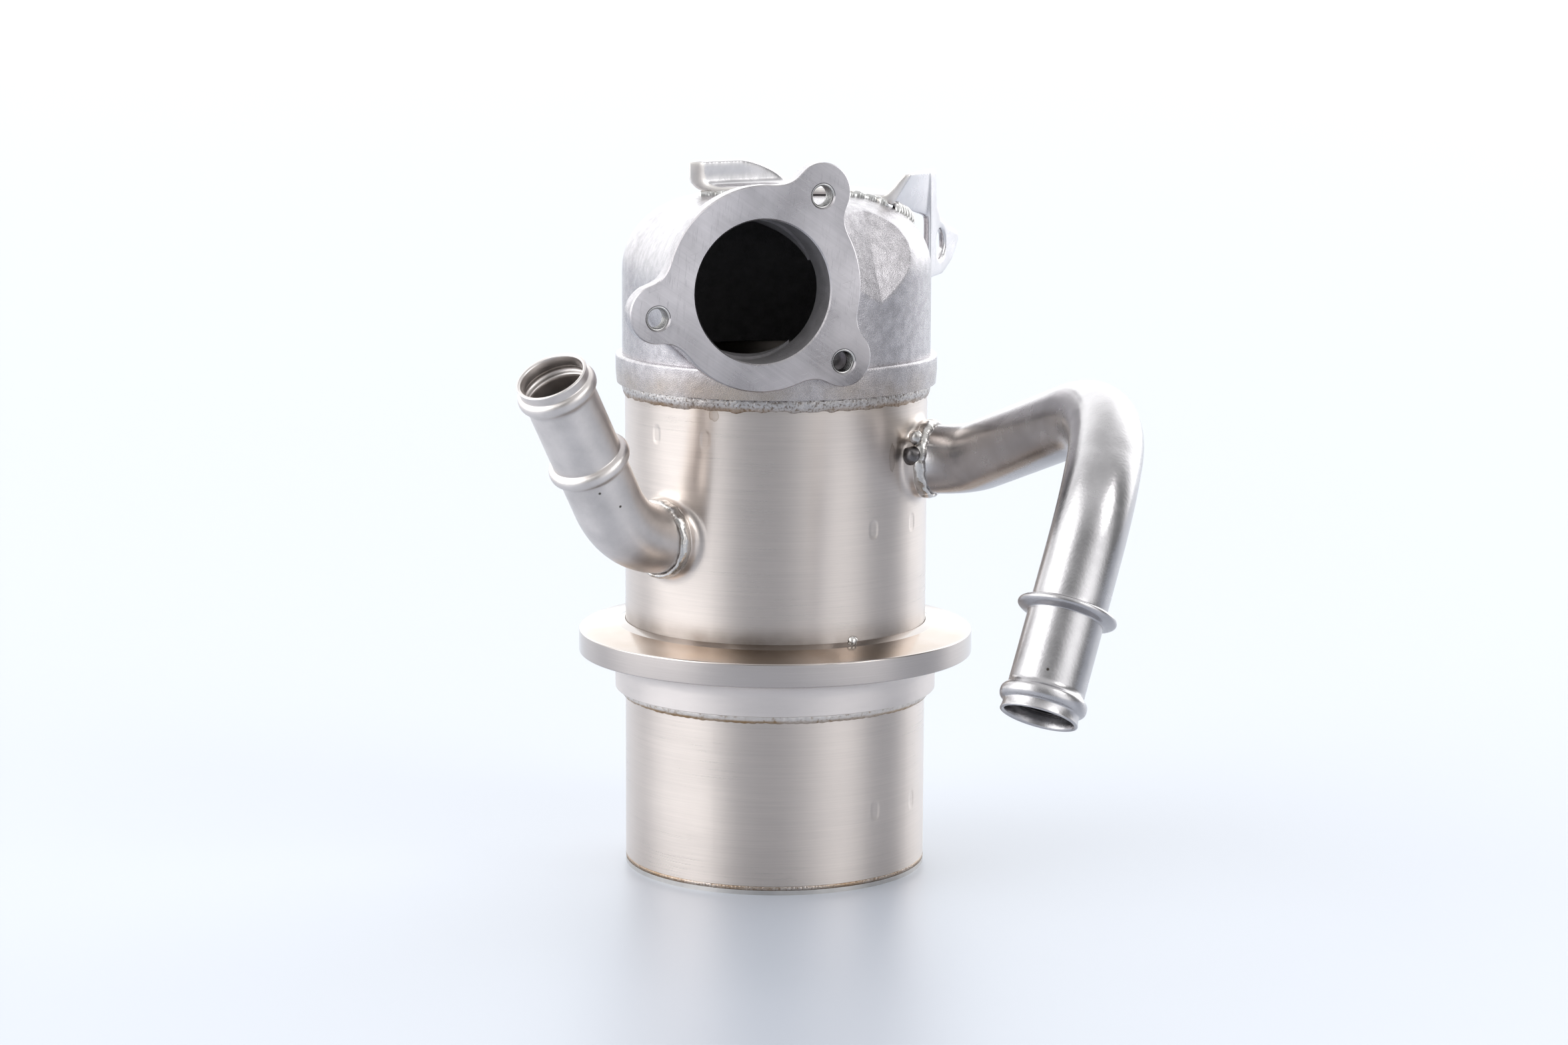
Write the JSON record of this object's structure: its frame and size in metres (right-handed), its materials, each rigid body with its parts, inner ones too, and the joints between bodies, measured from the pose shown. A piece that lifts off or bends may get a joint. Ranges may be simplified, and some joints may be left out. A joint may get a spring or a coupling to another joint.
{
  "type": "egr cooler",
  "caption": "Round EGR cooler: welded steel shell with a seating ring, a cast elbow head with an eared port flange, bent coolant pipes and a bracket.",
  "frame": {"origin": "on the axis of the shell, in the plane of the foot's lower edge", "axes": "+Z along the shell's axis towards the cast head; -Y is the way the gas port's flange faces"},
  "size_m": [0.1438, 0.2163, 0.1901],
  "materials": {
    "brushed_steel": "brushed",
    "turned_steel": "turned",
    "cast_steel": "sand cast, machined faces",
    "pressed_steel": "satin",
    "tube_steel": "satin",
    "weld_metal": "as welded"
  },
  "bodies": {
    "root": {"shell": "brushed_steel", "ring_flange": "turned_steel", "gas_head": "cast_steel", "mounting_bracket": "pressed_steel", "short_pipe": "tube_steel", "long_pipe": "tube_steel", "lower_header": "pressed_steel", "upper_header": "pressed_steel", "head_weld": "weld_metal", "ring_weld": "weld_metal", "foot_weld": "weld_metal", "short_neck_weld": "weld_metal", "long_neck_weld": "weld_metal", "bracket_front_weld": "weld_metal", "bracket_side_weld": "weld_metal", "gas_tube_1": "pressed_steel", "gas_tube_2": "pressed_steel", "gas_tube_3": "pressed_steel", "gas_tube_4": "pressed_steel", "gas_tube_5": "pressed_steel", "gas_tube_6": "pressed_steel", "gas_tube_7": "pressed_steel", "baffle_1": "pressed_steel", "baffle_2": "pressed_steel", "baffle_3": "pressed_steel", "baffle_4": "pressed_steel"}
  },
  "joints": []
}
